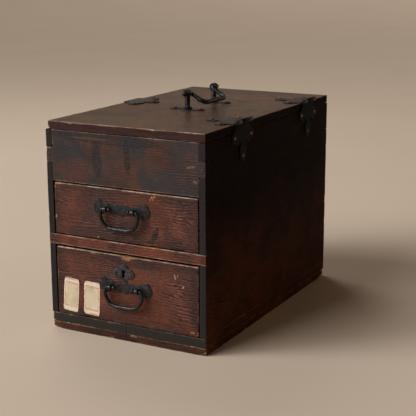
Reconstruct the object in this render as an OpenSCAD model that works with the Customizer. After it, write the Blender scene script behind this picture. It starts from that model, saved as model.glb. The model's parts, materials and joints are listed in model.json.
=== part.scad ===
// Tabletop medicine cabinet: hinged lid over a top compartment and two drawers.
// Origin at the middle of the base. +X is the hinge side, -Y the front, +Z up. Millimetres.

/* [Carcass] */
// Width over the side panels
body_w = 182; // [160:1:220]
// Depth from front to back
body_d = 299; // [260:1:340]
// Height of the carcass without the lid
body_h = 209.8; // [205:0.2:230]
// Thickness of the side and back panels
side_t = 7; // [6:0.5:9]
// Thickness of the two bottom boards
bottom_t = 9.5; // [8:0.5:11]
// Height of the plinth frame
plinth_h = 8; // [6:0.5:10]
// Width of the plinth strips
plinth_w = 14; // [10:1:20]
// Thickness of the drawer fronts and of the front panel
front_t = 9; // [7:0.5:10]
// Height of the underside of the rail between the drawers
rail_z = 91.5; // [88:0.5:94]
// Height of the underside of the compartment floor
floor_z = 157.8; // [156:0.2:164]

/* [Lid] */
// Thickness of the lid
lid_t = 8.3; // [7:0.1:10]
// Gap between the carcass and the lid
lid_gap = 0.5; // [0.3:0.1:1]
// Inset of the lid's left edge
lid_inset = 3; // [2:0.5:4]
// Width of the two end clamps of the lid
clamp_w = 45; // [35:1:55]

/* [Drawers] */
// Gap beside each drawer front
drawer_gap = 1.3; // [0.8:0.1:1.6]
// Thickness of the drawer sides and backs
drawer_side_t = 5.5; // [4:0.5:6]
// Thickness of the drawer bottoms
drawer_bottom_t = 4; // [3:0.5:5]
// Length of a drawer
drawer_l = 286; // [240:1:287]

/* [Iron fittings] */
// Thickness of the sheet-iron plates
plate_t = 1; // [0.8:0.1:1.4]
// Outer radius of the hinge knuckles
knuckle_r = 2.3; // [2:0.1:3]
// Radius of the hinge pins
pin_r = 1.2; // [1:0.1:1.4]
// Length of each hinge along the edge
hinge_l = 33; // [28:1:40]
// Radius of the drawer pulls' bar
pull_r = 2; // [1.4:0.1:2.2]
// Spacing of the drawer pulls' posts
pull_span = 31.7; // [28:0.1:36]
// Radius of the lid handle's bar
grip_r = 2.4; // [2:0.1:2.8]
// Spacing of the lid handle's posts
grip_span = 60; // [54:1:66]

/* [Hidden] */
$fn = 48;

wood = [0.30, 0.20, 0.16];
dark_wood = [0.22, 0.19, 0.18];
plain_wood = [0.62, 0.48, 0.34];
iron = [0.18, 0.18, 0.19];
rust = [0.50, 0.27, 0.16];
paper = [0.80, 0.73, 0.62];

half_w = body_w / 2;
half_d = body_d / 2;
inner_w = body_w - 2 * side_t;
floor_top = plinth_h + bottom_t;      // top of the bottom boards
rail_h = 10.5;
rail_d = 14;                          // depth of the rail, front to back
rail_top = rail_z + rail_h;
comp_floor_t = 6.5;
tab_lo = 176.5;                       // the front panel's through tabs
tab_hi = 191.8;
back_tabs = [[40, 60], [100, 120], [160, 180]];
shelf_t = 6;

lid_z = body_h + lid_gap;             // underside of the lid
lid_top = lid_z + lid_t;
lid_left = -half_w + lid_inset;
lid_right = half_w - 0.3;              // clear of the hinges' side leaves
tongue = 8;                           // depth of the lid panel's tongues
tongue_t = 3;

// Hinges: one axis along the right-hand top edge, and the hasp's along the left.
fit_y = 8.5;                          // middle of the fittings on the lid
hinge_offset = 81.5;
hinge_ys = [fit_y - hinge_offset, fit_y + hinge_offset];
axis_out = 1.75;                      // axis out from the edge and above the lid
hinge_x = half_w + axis_out;
hinge_z = lid_top + axis_out;
hasp_x = lid_left - knuckle_r - 0.05; // the hasp's knuckle lies against the lid's edge
hasp_z = lid_top - 5;
pin_gap = 0.05;
knuckle_gap = 0.3;
mid_l = hinge_l * 0.46;               // length of the middle knuckle

// Staple and hasp
strap_slot = [21, 36, 5];             // start, end and width of the slot
strap_t = 1.6;
strap_l = 39;
strap_lean = 30;                      // how far the free strap leans out
staple_drop = 28;                     // staple's axis below the hasp's axis
staple_reach = 10.1;                  // staple's axis out from the side panel
staple_z = hasp_z - staple_drop;
eye_hole_r = 3;
eye_r = 5;
eye_t = 2.6;

// Lid handle
grip_y = 9.5;                         // middle of the handle
grip_h = 17;                          // pivot above the lid
grip_arm = 20;                        // pivot to the middle of the grip
grip_tilt = 29;                       // how far the grip hangs below level
grip_side = 24;                       // the arms stand inside the posts
grip_pin_r = 1.9;
handle_nail = 15;                     // plate's nails to each side of its post

// Drawer fronts
drawer_front_w = inner_w - 2 * drawer_gap;
run_gap = 0.3;                        // under the drawers' sides
upper_z = [103.4, 156.1];
lower_z = [18.3, 89.2];
upper_pull = [-2.7, 136.0];
lower_pull = [0.3, 56.2];
pull_out = 5.2;                       // pivot in front of the drawer's face
pull_drop = 19.2;
lower_plate_w = 61;
pull_side = 21.6;
pull_pin_r = 1.2;
key_x = -1.8;
key_z = 71.4;
case_w = 44;
case_h = 34;
case_t = 6;
bolt_w = 10;
bolt_t = 2;
bolt_y = -half_d + front_t + 1.2;     // front face of the bolt
mortise = 4.5;                        // depth of the bolt's mortise in the rail
bolt_play = 0.3;

// ---------- shared shapes ----------

// A board given by its two opposite corners
module board(a, b) {
    translate(a) cube(b - a);
}

// A bar along Y between two heights of y
module rod_y(x, z, r, y0, y1) {
    translate([x, y0, z]) rotate([-90, 0, 0]) cylinder(r = r, h = y1 - y0);
}

module rod_x(y, z, r, x0, x1) {
    translate([x0, y, z]) rotate([0, 90, 0]) cylinder(r = r, h = x1 - x0);
}

// A nail with a domed head, its shank pointing down from the origin
module nail(head_r = 1.9, shank_l = 5) {
    intersection() {
        translate([0, 0, -head_r * 0.6]) sphere(r = head_r * 1.17);
        translate([-head_r, -head_r, 0]) cube([2 * head_r, 2 * head_r, head_r]);
    }
    translate([0, 0, -shank_l]) cylinder(r = head_r * 0.45, h = shank_l);
}

// Cloud-headed leaf in the plane, from the edge at x = 0 out to x = reach, with a wing at
// each side at x = wing_at and a round head at its tip. A size is [reach, width, wing_at].
module leaf_outline(size) {
    reach = size[0];
    wing = size[1] / 2 - 6;
    wing_at = size[2];
    half = [[0, mid_l], [wing_at - 2, wing], [wing_at + 3, wing - 3.5], [wing_at + 6, 5], [reach - 8, 4]];
    polygon(concat(half, [for (i = [len(half) - 1:-1:0]) [half[i][0], -half[i][1]]]));
    for (s = [-1, 1]) {
        translate([wing_at, s * wing]) circle(r = 6);
        translate([wing_at + 4.5, s * (wing - 6)]) circle(r = 4);
        translate([reach - 11.5, s * 4]) circle(r = 3.6);
    }
    translate([reach - 6.5, 0]) circle(r = 6.5);
}

function leaf_nails(size) =
    [[size[0] - 6, 0], [size[2], size[1] / 2 - 6], [size[2], 6 - size[1] / 2]];

lid_leaf_size = [40, 52, 14];
side_leaf_size = [39.5, 48, 14];
hasp_leaf_size = [36, 54, 17];
near_nail = [8, 0];                   // a fourth nail beside the lid leaf's knuckle

// The knuckle's share of the barrel: the middle one, or the two outer ones
module knuckles(x, z, y, middle) {
    spans = middle ? [[-mid_l / 2 + knuckle_gap, mid_l / 2 - knuckle_gap]]
                   : [[-hinge_l / 2, -mid_l / 2], [mid_l / 2, hinge_l / 2]];
    for (s = spans) rod_y(x, z, knuckle_r, y + s[0], y + s[1]);
}

// Room that the other leaf's knuckles need, cut from a leaf's plate
module knuckle_room(x, z, y, middle) {
    spans = middle ? [[-hinge_l / 2 - 20, -mid_l / 2 + knuckle_gap],
                      [mid_l / 2 - knuckle_gap, hinge_l / 2 + 20]]
                   : [[-mid_l / 2, mid_l / 2]];
    for (s = spans) rod_y(x, z, knuckle_r + knuckle_gap, y + s[0], y + s[1]);
}

module pin_hole(x, z, y, r) {
    rod_y(x, z, r, y - hinge_l, y + hinge_l);
}

module lid_leaf(y) {
    difference() {
        union() {
            difference() {
                translate([half_w + 0.4, y, lid_top]) mirror([1, 0, 0])
                    linear_extrude(plate_t) leaf_outline(lid_leaf_size);
                knuckle_room(hinge_x, hinge_z, y, false);
            }
            knuckles(hinge_x, hinge_z, y, false);
        }
        pin_hole(hinge_x, hinge_z, y, pin_r + pin_gap);
    }
}

module side_leaf(y) {
    difference() {
        union() {
            difference() {
                translate([half_w, y, hinge_z - 1]) rotate([0, 90, 0])
                    linear_extrude(plate_t) leaf_outline(side_leaf_size);
                knuckle_room(hinge_x, hinge_z, y, true);
            }
            knuckles(hinge_x, hinge_z, y, true);
        }
        pin_hole(hinge_x, hinge_z, y, pin_r);
    }
}

module hinge_pin(x, y, z) {
    rod_y(x, z, pin_r, y - hinge_l / 2 - 0.4, y + hinge_l / 2 + 0.4);
    for (s = [-1, 1]) translate([x, y + s * (hinge_l / 2 + 1), z])
        rotate([90, 0, 0]) cylinder(r = 1.9, h = 1.2, center = true);
}

// ---------- carcass ----------

module side_panel(s) {
    x0 = half_w - side_t;
    color(dark_wood) difference() {
        if (s > 0) board([x0, -half_d, floor_top], [half_w, half_d, body_h]);
        else board([-half_w, -half_d, floor_top], [-x0, half_d, body_h]);
        board([-body_w, -body_d, rail_z], [body_w, -half_d + rail_d, rail_top]);
        board([-body_w, -body_d, tab_lo], [body_w, -half_d + front_t, tab_hi]);
        for (t = back_tabs) board([-body_w, half_d - side_t, t[0]], [body_w, body_d, t[1]]);
    }
}

module side_panel_left() { side_panel(-1); }
module side_panel_right() { side_panel(1); }

module back_panel() {
    color(wood) {
        board([-inner_w / 2, half_d - side_t, floor_top], [inner_w / 2, half_d, body_h]);
        for (t = back_tabs) board([-half_w, half_d - side_t, t[0]], [half_w, half_d, t[1]]);
    }
}

module front_panel() {
    color(wood) {
        board([-inner_w / 2, -half_d, floor_z], [inner_w / 2, -half_d + front_t, body_h]);
        board([-half_w, -half_d, tab_lo], [half_w, -half_d + front_t, tab_hi]);
    }
}

module compartment_floor() {
    color(plain_wood) board([-inner_w / 2, -half_d + front_t, floor_z],
                            [inner_w / 2, half_d - side_t, floor_z + comp_floor_t]);
}

module drawer_rail() {
    color(wood) difference() {
        board([-half_w, -half_d, rail_z], [half_w, -half_d + rail_d, rail_top]);
        board([key_x - bolt_w / 2 - 1, bolt_y - 0.6, rail_z - 1],
              [key_x + bolt_w / 2 + 1, bolt_y + bolt_t + 0.6, rail_z + mortise]);
    }
}

module drawer_shelf() {
    color(plain_wood) board([-inner_w / 2, -half_d + rail_d, rail_top - shelf_t],
                            [inner_w / 2, half_d - side_t, rail_top]);
}

module bottom_board_left() {
    color(dark_wood) board([-half_w, -half_d, plinth_h], [0, half_d, floor_top]);
}

module bottom_board_right() {
    color(dark_wood) board([0, -half_d, plinth_h], [half_w, half_d, floor_top]);
}

module plinth_front() {
    color(wood) board([-half_w, -half_d, 0], [half_w, -half_d + plinth_w, plinth_h]);
}

module plinth_back() {
    color(wood) board([-half_w, half_d - plinth_w, 0], [half_w, half_d, plinth_h]);
}

module plinth_left() {
    color(wood) board([-half_w, -half_d + plinth_w, 0], [-half_w + plinth_w, half_d - plinth_w, plinth_h]);
}

module plinth_right() {
    color(wood) board([half_w - plinth_w, -half_d + plinth_w, 0], [half_w, half_d - plinth_w, plinth_h]);
}

// A batten across the joint between the bottom boards
module plinth_middle() {
    color(wood) board([-half_w + plinth_w, -plinth_w / 2, 0], [half_w - plinth_w, plinth_w / 2, plinth_h]);
}

module hinge_front_side_leaf() { color(iron) side_leaf(hinge_ys[0]); }
module hinge_rear_side_leaf() { color(iron) side_leaf(hinge_ys[1]); }
module hinge_front_pin() { color(iron) hinge_pin(hinge_x, hinge_ys[0], hinge_z); }
module hinge_rear_pin() { color(iron) hinge_pin(hinge_x, hinge_ys[1], hinge_z); }

module staple_plate() {
    color(iron) translate([-half_w, fit_y, staple_z]) rotate([0, -90, 0])
        linear_extrude(plate_t) difference() {
            union() {
                circle(r = 8);
                for (s = [-1, 1]) translate([s * 9, 0]) circle(r = 5.5);
                for (s = [-1, 1]) translate([0, s * 9]) circle(r = 5.5);
            }
            square([2 * eye_r, eye_t], center = true);
        }
}

module hasp_staple() {
    color(iron) difference() {
        translate([-half_w - staple_reach, fit_y, staple_z]) rotate([90, 0, 0])
            linear_extrude(eye_t, center = true) union() {
                circle(r = eye_r);
                translate([0, -eye_r]) square([staple_reach, 2 * eye_r]);
            }
        rod_y(-half_w - staple_reach, staple_z, eye_hole_r, fit_y - 10, fit_y + 10);
    }
}

module carcass_nails() {
    color(rust) {
        // through the front panel's tabs into the side panels
        for (s = [-1, 1]) translate([s * (half_w - 3.2), -half_d, (tab_lo + tab_hi) / 2])
            rotate([90, 0, 0]) nail(1.3, 8);
        // the hinges' side leaves
        for (y = hinge_ys, n = leaf_nails(side_leaf_size))
            translate([half_w + plate_t, y + n[1], hinge_z - 1 - n[0]]) rotate([0, 90, 0]) nail(1.8, 5);
        // the staple plate
        for (s = [-1, 1]) {
            translate([-half_w - plate_t, fit_y, staple_z + s * 9.5]) rotate([0, -90, 0]) nail(1.6, 5);
            translate([-half_w - plate_t, fit_y + s * 9.5, staple_z]) rotate([0, -90, 0]) nail(1.6, 5);
        }
    }
}

// ---------- lid ----------

clamp_y = half_d - clamp_w;
lid_mid = (lid_z + lid_top) / 2;

module lid_panel() {
    color(wood) {
        board([lid_left, -clamp_y, lid_z], [lid_right, clamp_y, lid_top]);
        board([lid_left + 6, -clamp_y - tongue, lid_mid - tongue_t / 2],
              [half_w - 6, clamp_y + tongue, lid_mid + tongue_t / 2]);
    }
}

module lid_clamp(s) {
    y0 = s > 0 ? clamp_y : -half_d;
    groove = s > 0 ? clamp_y : -clamp_y - tongue;
    color(wood) difference() {
        board([lid_left, y0, lid_z], [lid_right, y0 + clamp_w, lid_top]);
        board([lid_left + 6, groove, lid_mid - tongue_t / 2],
              [half_w - 6, groove + tongue, lid_mid + tongue_t / 2]);
    }
}

module lid_clamp_front() { lid_clamp(-1); }
module lid_clamp_back() { lid_clamp(1); }
module hinge_front_lid_leaf() { color(iron) lid_leaf(hinge_ys[0]); }
module hinge_rear_lid_leaf() { color(iron) lid_leaf(hinge_ys[1]); }

// The hasp's leaf lies on the lid and turns down over its edge to the knuckle
module hasp_lid_leaf() {
    color(iron) difference() {
        union() {
            difference() {
                union() {
                    translate([lid_left - plate_t, fit_y, lid_top])
                        linear_extrude(plate_t) leaf_outline(hasp_leaf_size);
                    board([lid_left - plate_t, fit_y - mid_l, hasp_z],
                          [lid_left, fit_y + mid_l, lid_top + plate_t]);
                }
                knuckle_room(hasp_x, hasp_z, fit_y, false);
            }
            knuckles(hasp_x, hasp_z, fit_y, false);
        }
        pin_hole(hasp_x, hasp_z, fit_y, pin_r);
    }
}

module hasp_pin() { color(iron) hinge_pin(hasp_x, fit_y, hasp_z); }

post_ys = [grip_y - grip_span / 2, grip_y + grip_span / 2];

module handle_plate(y) {
    color(iron) translate([0, y, lid_top]) linear_extrude(plate_t) {
        square([2 * handle_nail, 6], center = true);
        circle(r = 7);
        for (s = [-1, 1]) translate([s * handle_nail, 0]) circle(r = 5.2);
    }
}

module lid_handle_plate_front() { handle_plate(post_ys[0]); }
module lid_handle_plate_rear() { handle_plate(post_ys[1]); }

module handle_post(y) {
    color(iron) difference() {
        union() {
            translate([0, y, lid_top + plate_t]) cylinder(r = 4.6, h = 2);
            translate([0, y, lid_top + plate_t]) cylinder(r = 2.8, h = grip_h - plate_t - 1);
            rod_y(0, lid_top + grip_h, 4.2, y - 2.6, y + 2.6);
        }
        rod_y(0, lid_top + grip_h, grip_pin_r + pin_gap, y - 10, y + 10);
    }
}

module lid_handle_post_front() { handle_post(post_ys[0]); }
module lid_handle_post_rear() { handle_post(post_ys[1]); }

module lid_nails() {
    color(rust) {
        for (y = hinge_ys, n = concat([near_nail], leaf_nails(lid_leaf_size)))
            translate([half_w + 0.4 - n[0], y + n[1], lid_top + plate_t]) nail(2, 5);
        for (n = leaf_nails(hasp_leaf_size))
            translate([lid_left - plate_t + n[0], fit_y + n[1], lid_top + plate_t]) nail(1.9, 5);
        for (y = post_ys, s = [-1, 1]) translate([s * handle_nail, y, lid_top + plate_t]) nail(2, 5);
    }
}

// The bow of a bail in the plane: its grip at y = -drop, a round corner at each end of it, and
// its arms up to their shoulders at x = +-side
module bow(side, drop, r, shoulder, corner) {
    translate([corner - side, -drop, 0]) rotate([0, 90, 0]) cylinder(r = r, h = 2 * (side - corner));
    for (turn = [0, 180]) rotate([0, turn, 0]) {
        translate([side, -shoulder, 0]) rotate([90, 0, 0]) cylinder(r = r, h = drop - shoulder - corner);
        translate([side - corner, corner - drop, 0]) rotate([0, 0, -90]) rotate_extrude(angle = 90)
            translate([corner, 0]) circle(r = r);
    }
}

// A drawer's bail: its pins point inwards through the posts on the X axis and end in knobs
module pull_bail(shoulder, corner, post_half) {
    inner = pull_span / 2 - post_half - 0.5;
    outer = pull_span / 2 + post_half + 0.5;
    knob = pull_r * 1.15;
    bow(pull_side, pull_drop, pull_r, shoulder, corner);
    for (turn = [0, 180]) rotate([0, turn, 0]) {
        translate([inner - knob, 0, 0]) rotate([0, 90, 0]) {
            cylinder(r = pull_pin_r, h = outer - inner + knob);
            sphere(r = knob);
        }
        translate([outer, 0, 0]) rotate([0, 90, 0]) cylinder(r = pull_r, h = pull_side - shoulder - outer);
        translate([pull_side - shoulder, -shoulder, 0]) rotate_extrude(angle = 90)
            translate([shoulder, 0]) circle(r = pull_r);
    }
}

// The lid's bail: its pins point outwards through the posts and end in knobs
module grip_bail(shoulder, corner, post_half) {
    inner = grip_span / 2 - post_half - 0.5;
    outer = grip_span / 2 + post_half + 0.5;
    knob = grip_r * 1.15;
    bow(grip_side, grip_arm, grip_r, shoulder, corner);
    for (turn = [0, 180]) rotate([0, turn, 0]) {
        translate([outer + knob, 0, 0]) rotate([0, -90, 0]) {
            cylinder(r = grip_pin_r, h = outer - inner + knob);
            sphere(r = knob);
        }
        translate([grip_side + shoulder, 0, 0]) rotate([0, 90, 0])
            cylinder(r = grip_r, h = inner - grip_side - shoulder);
        translate([grip_side + shoulder, -shoulder, 0]) rotate([0, 0, 90]) rotate_extrude(angle = 90)
            translate([shoulder, 0]) circle(r = grip_r);
    }
}

module lid_bail() {
    color(iron) translate([0, grip_y, lid_top + grip_h]) rotate([0, grip_tilt, 0]) rotate([0, 0, 90])
        grip_bail(2.7, 6, 2.6);
}

module hasp_strap() {
    color(iron) translate([hasp_x, fit_y, hasp_z]) rotate([0, strap_lean, 0]) difference() {
        union() {
            difference() {
                translate([-0.6, 0, 0]) rotate([0, 90, 0]) linear_extrude(strap_t, center = true) union() {
                    translate([0, -mid_l / 2 + knuckle_gap]) square([strap_l - 8, mid_l - 2 * knuckle_gap]);
                    translate([strap_l - 8, 0]) circle(r = 8);
                }
                board([-4, -strap_slot[2] / 2, -strap_slot[1]], [4, strap_slot[2] / 2, -strap_slot[0]]);
            }
            rod_y(0, 0, knuckle_r, -mid_l / 2 + knuckle_gap, mid_l / 2 - knuckle_gap);
        }
        rod_y(0, 0, pin_r + pin_gap, -20, 20);
    }
}

// ---------- drawers ----------

module drawer_front(z) {
    board([-drawer_front_w / 2, -half_d, z[0]], [drawer_front_w / 2, -half_d + front_t, z[1]]);
}

module drawer_side(low, side_h, s) {
    x1 = drawer_front_w / 2;
    x0 = x1 - drawer_side_t;
    color(plain_wood) translate([s < 0 ? -x0 - x1 : 0, 0, 0])
        board([x0, -half_d + front_t, low], [x1, -half_d + drawer_l, low + side_h]);
}

module drawer_back(low, side_h) {
    x0 = drawer_front_w / 2 - drawer_side_t;
    color(plain_wood) board([-x0, -half_d + drawer_l - drawer_side_t, low],
                            [x0, -half_d + drawer_l, low + side_h]);
}

module drawer_bottom(low) {
    x0 = drawer_front_w / 2 - drawer_side_t;
    color(plain_wood) board([-x0, -half_d + front_t, low + 0.3],
                            [x0, -half_d + drawer_l - drawer_side_t, low + 0.3 + drawer_bottom_t]);
}

// Bat-shaped plate behind a drawer pull, in the plane of the drawer's front, its middle lobe
// reaching that far down
module pull_plate_outline(w, lobe) {
    wing = w / 2 - 6.5;
    square([2 * wing, 5.8], center = true);
    for (s = [-1, 1]) {
        translate([s * wing, 0]) circle(r = 6.5);
        translate([s * (wing + 1), 5.4]) circle(r = 3.2);
        translate([s * (wing - 7), 1.6]) circle(r = 4.6);
        translate([s * 6.2, 0.2]) circle(r = 4.7);
    }
    translate([0, 2.6]) circle(r = 3.4);
    translate([0, 3.4 - lobe]) circle(r = 3.4);
}

module pull_plate(pos, w, lobe) {
    color(iron) translate([pos[0], -half_d, pos[1]]) rotate([90, 0, 0])
        linear_extrude(plate_t) pull_plate_outline(w, lobe);
}

module pull_post(pos, s) {
    x = pos[0] + s * pull_span / 2;
    color(iron) difference() {
        union() {
            translate([x, -half_d - plate_t, pos[1]]) rotate([90, 0, 0])
                cylinder(r = 2.1, h = pull_out - plate_t);
            rod_x(-half_d - pull_out, pos[1], 2.7, x - 1.9, x + 1.9);
        }
        rod_x(-half_d - pull_out, pos[1], pull_pin_r + pin_gap, x - 5, x + 5);
    }
}

module drawer_bail(pos) {
    color(iron) translate([pos[0], -half_d - pull_out, pos[1]]) rotate([90, 0, 0]) pull_bail(3, 14, 1.9);
}

upper_low = rail_top + run_gap;
lower_low = floor_top + run_gap;
upper_side_h = 46;
lower_side_h = 64;

module upper_drawer_front() { color(wood) drawer_front(upper_z); }
module upper_drawer_side_left() { drawer_side(upper_low, upper_side_h, -1); }
module upper_drawer_side_right() { drawer_side(upper_low, upper_side_h, 1); }
module upper_drawer_back() { drawer_back(upper_low, upper_side_h); }
module upper_drawer_bottom() { drawer_bottom(upper_low); }
module upper_pull_plate() { pull_plate(upper_pull, 65, 6.6); }
module upper_pull_post_left() { pull_post(upper_pull, -1); }
module upper_pull_post_right() { pull_post(upper_pull, 1); }
module upper_bail() { drawer_bail(upper_pull); }

// The keyhole: a round top over a narrower slot, along Y
module keyhole(y0, y1) {
    rod_y(key_x, key_z + 1.6, 2.2, y0, y1);
    board([key_x - 1.5, y0, key_z - 5.7], [key_x + 1.5, y1, key_z + 1.6]);
}

case_z0 = key_z - 19;
case_z1 = case_z0 + case_h;

module lower_drawer_front() {
    color(wood) difference() {
        drawer_front(lower_z);
        keyhole(-body_d, 0);
    }
}

module lower_drawer_side_left() { drawer_side(lower_low, lower_side_h, -1); }
module lower_drawer_side_right() { drawer_side(lower_low, lower_side_h, 1); }
module lower_drawer_back() { drawer_back(lower_low, lower_side_h); }
module lower_drawer_bottom() { drawer_bottom(lower_low); }
module lower_pull_plate() { pull_plate(lower_pull, lower_plate_w, 5.4); }
module lower_pull_post_left() { pull_post(lower_pull, -1); }
module lower_pull_post_right() { pull_post(lower_pull, 1); }
module lower_bail() { drawer_bail(lower_pull); }

module keyhole_plate() {
    color(iron) difference() {
        translate([key_x, -half_d, key_z]) rotate([90, 0, 0]) linear_extrude(plate_t) {
            circle(r = 7.4);
            for (s = [-1, 1]) translate([s * 7.6, 0]) circle(r = 4.7);
            translate([0, 4.6]) circle(r = 4.9);
            translate([0, -3.9]) circle(r = 4.6);
        }
        keyhole(-body_d, 0);
    }
}

module lock_case() {
    y0 = -half_d + front_t;
    color(iron) difference() {
        board([key_x - case_w / 2, y0, case_z0], [key_x + case_w / 2, y0 + case_t, case_z1]);
        // the way that the bolt slides in
        board([key_x - bolt_w / 2 - bolt_play, bolt_y - bolt_play, case_z1 - 14],
              [key_x + bolt_w / 2 + bolt_play, bolt_y + bolt_t + bolt_play, case_z1 + 1]);
        keyhole(y0 - 1, y0 + 4);
    }
}

module lock_bolt() {
    color(iron) board([key_x - bolt_w / 2, bolt_y, case_z1 - 13.5],
                      [key_x + bolt_w / 2, bolt_y + bolt_t, case_z1 + 1.2]);
}

module lower_drawer_nails() {
    color(rust) {
        for (s = [-1, 1]) translate([key_x + s * 9.2, -half_d - plate_t, key_z])
            rotate([90, 0, 0]) nail(1.4, 5);
        translate([key_x, -half_d - plate_t, key_z - 7.5]) rotate([90, 0, 0]) nail(1.0, 4);
    }
}

module label(x, z, w, h, turn) {
    translate([x, -half_d, z]) rotate([90, -turn, 0]) linear_extrude(0.3) square([w, h], center = true);
}

module label_left() { color(paper) label(-66.0, 39.6, 19.4, 36.9, -4.5); }

// The right label is torn away where the pull plate's wing covers its corner
module label_right() {
    color(paper) difference() {
        label(-40.7, 39.0, 19.9, 36.4, -3);
        rod_y(lower_pull[0] - lower_plate_w / 2 + 6.5, lower_pull[1], 7.2, -body_d, body_d);
    }
}

side_panel_left();
side_panel_right();
back_panel();
front_panel();
compartment_floor();
drawer_rail();
drawer_shelf();
bottom_board_left();
bottom_board_right();
plinth_front();
plinth_back();
plinth_left();
plinth_right();
plinth_middle();
hinge_front_side_leaf();
hinge_rear_side_leaf();
hinge_front_pin();
hinge_rear_pin();
staple_plate();
hasp_staple();
carcass_nails();
lid_panel();
lid_clamp_front();
lid_clamp_back();
hinge_front_lid_leaf();
hinge_rear_lid_leaf();
hasp_lid_leaf();
hasp_pin();
lid_handle_plate_front();
lid_handle_plate_rear();
lid_handle_post_front();
lid_handle_post_rear();
lid_nails();
lid_bail();
hasp_strap();
upper_drawer_front();
upper_drawer_side_left();
upper_drawer_side_right();
upper_drawer_back();
upper_drawer_bottom();
upper_pull_plate();
upper_pull_post_left();
upper_pull_post_right();
upper_bail();
lower_drawer_front();
lower_drawer_side_left();
lower_drawer_side_right();
lower_drawer_back();
lower_drawer_bottom();
lower_pull_plate();
lower_pull_post_left();
lower_pull_post_right();
lower_bail();
keyhole_plate();
lock_case();
lock_bolt();
lower_drawer_nails();
label_left();
label_right();
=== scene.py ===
import json
import math

import bpy
import numpy as np
from mathutils import Matrix, Vector


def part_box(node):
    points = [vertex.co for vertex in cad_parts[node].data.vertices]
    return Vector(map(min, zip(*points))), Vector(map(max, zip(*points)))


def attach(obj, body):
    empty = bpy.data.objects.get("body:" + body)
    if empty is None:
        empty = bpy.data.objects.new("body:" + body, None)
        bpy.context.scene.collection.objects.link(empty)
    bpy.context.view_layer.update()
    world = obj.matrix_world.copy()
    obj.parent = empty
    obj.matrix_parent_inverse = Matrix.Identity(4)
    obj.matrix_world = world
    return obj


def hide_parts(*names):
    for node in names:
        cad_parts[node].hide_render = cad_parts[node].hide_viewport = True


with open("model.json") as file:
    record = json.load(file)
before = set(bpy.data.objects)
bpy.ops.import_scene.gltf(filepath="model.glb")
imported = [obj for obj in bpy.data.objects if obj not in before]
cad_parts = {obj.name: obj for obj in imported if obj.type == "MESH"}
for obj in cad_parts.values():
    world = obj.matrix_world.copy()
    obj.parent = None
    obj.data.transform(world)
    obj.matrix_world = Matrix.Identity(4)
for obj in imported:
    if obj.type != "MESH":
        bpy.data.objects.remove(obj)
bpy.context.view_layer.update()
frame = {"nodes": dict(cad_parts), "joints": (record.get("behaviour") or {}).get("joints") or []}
MM = 0.001

# ---------------------------------------- camera, light and floor

CAMERA_AT = Vector((0.5465, -0.9930, 0.3840))
CAMERA_TURN = math.radians(28.236)  # how far the view turns from +Y towards -X
CAMERA_DOWN = math.radians(13.794)
CAMERA_ROLL = math.radians(-0.21)
LENS = 91.3
FILM_WIDTH = 36

SUN_WAY = (0.80, 0.95, -0.80)
SUN_POWER = 2.45
SUN_SPREAD = math.radians(50)
SUN_COLOUR = (1.0, 0.97, 0.94)
ROOM_COLOUR = (0.55, 0.35, 0.22)
ROOM_STRENGTH = 0.11
# each soft lamp's name, place, the point it is aimed at, width, power and colour
LAMPS = (("window", (-1.5, -1.35, 1.15), (0, -0.1, 0.12), 0.9, 17, (0.94, 0.97, 1.0)),
         ("overhead", (-0.9, 0.7, 1.5), (-0.1, 0, 0.15), 0.9, 6, (1.0, 0.97, 0.93)))


def make_camera():
    cam = bpy.data.objects.new("camera", bpy.data.cameras.new("camera"))
    ahead = Vector((-math.sin(CAMERA_TURN) * math.cos(CAMERA_DOWN),
                    math.cos(CAMERA_TURN) * math.cos(CAMERA_DOWN), -math.sin(CAMERA_DOWN)))
    turn = ahead.to_track_quat("-Z", "Y").to_matrix().to_4x4()
    cam.matrix_world = Matrix.Translation(CAMERA_AT) @ turn @ Matrix.Rotation(CAMERA_ROLL, 4, "Z")
    cam.data.lens = LENS
    cam.data.sensor_width = FILM_WIDTH
    cam.data.clip_start = 0.01
    bpy.context.scene.collection.objects.link(cam)
    bpy.context.scene.camera = cam


def add_light(data, towards):
    """Puts a lamp in the scene that shines in the direction towards."""
    light = bpy.data.objects.new(data.name, data)
    light.rotation_mode = "QUATERNION"
    light.rotation_quaternion = Vector(towards).to_track_quat("-Z", "Y")
    bpy.context.scene.collection.objects.link(light)
    return light


def make_lights():
    sun = bpy.data.lights.new("daylight", "SUN")
    sun.energy, sun.angle, sun.color = SUN_POWER, SUN_SPREAD, SUN_COLOUR
    add_light(sun, SUN_WAY)
    for name, at, aim, width, power, colour in LAMPS:
        lamp = bpy.data.lights.new(name, "AREA")
        lamp.shape = "DISK"
        lamp.size, lamp.energy, lamp.color = width, power, colour
        add_light(lamp, Vector(aim) - Vector(at)).location = at
    world = bpy.data.worlds.new("room")
    world.use_nodes = True
    back = world.node_tree.nodes["Background"]
    back.inputs["Color"].default_value = (*ROOM_COLOUR, 1)
    back.inputs["Strength"].default_value = ROOM_STRENGTH
    bpy.context.scene.world = world
    view = bpy.context.scene.view_settings
    view.view_transform = "Standard"
    view.look = "None"


# ---------------------------------------- small maths

def waves(p, per_metre, seed, count=10):
    """Smooth noise, about -1 to 1, as a sum of sines in random directions."""
    rng = np.random.default_rng(seed)
    ways = rng.normal(size=(count, 3))
    ways *= (per_metre * rng.uniform(0.5, 1.6, count) / np.linalg.norm(ways, axis=1))[:, None]
    total = np.sin(p @ ways.T * 2 * math.pi + rng.uniform(0, 2 * math.pi, count)).sum(1)
    return np.clip(total / math.sqrt(count), -1.6, 1.6) / 1.6


def new_object(name, verts, faces):
    mesh = bpy.data.meshes.new(name)
    mesh.from_pydata([tuple(v) for v in verts], [], [tuple(f) for f in faces])
    mesh.update()
    for poly in mesh.polygons:
        poly.use_smooth = True
    ob = bpy.data.objects.new(name, mesh)
    bpy.context.scene.collection.objects.link(ob)
    return ob


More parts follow.
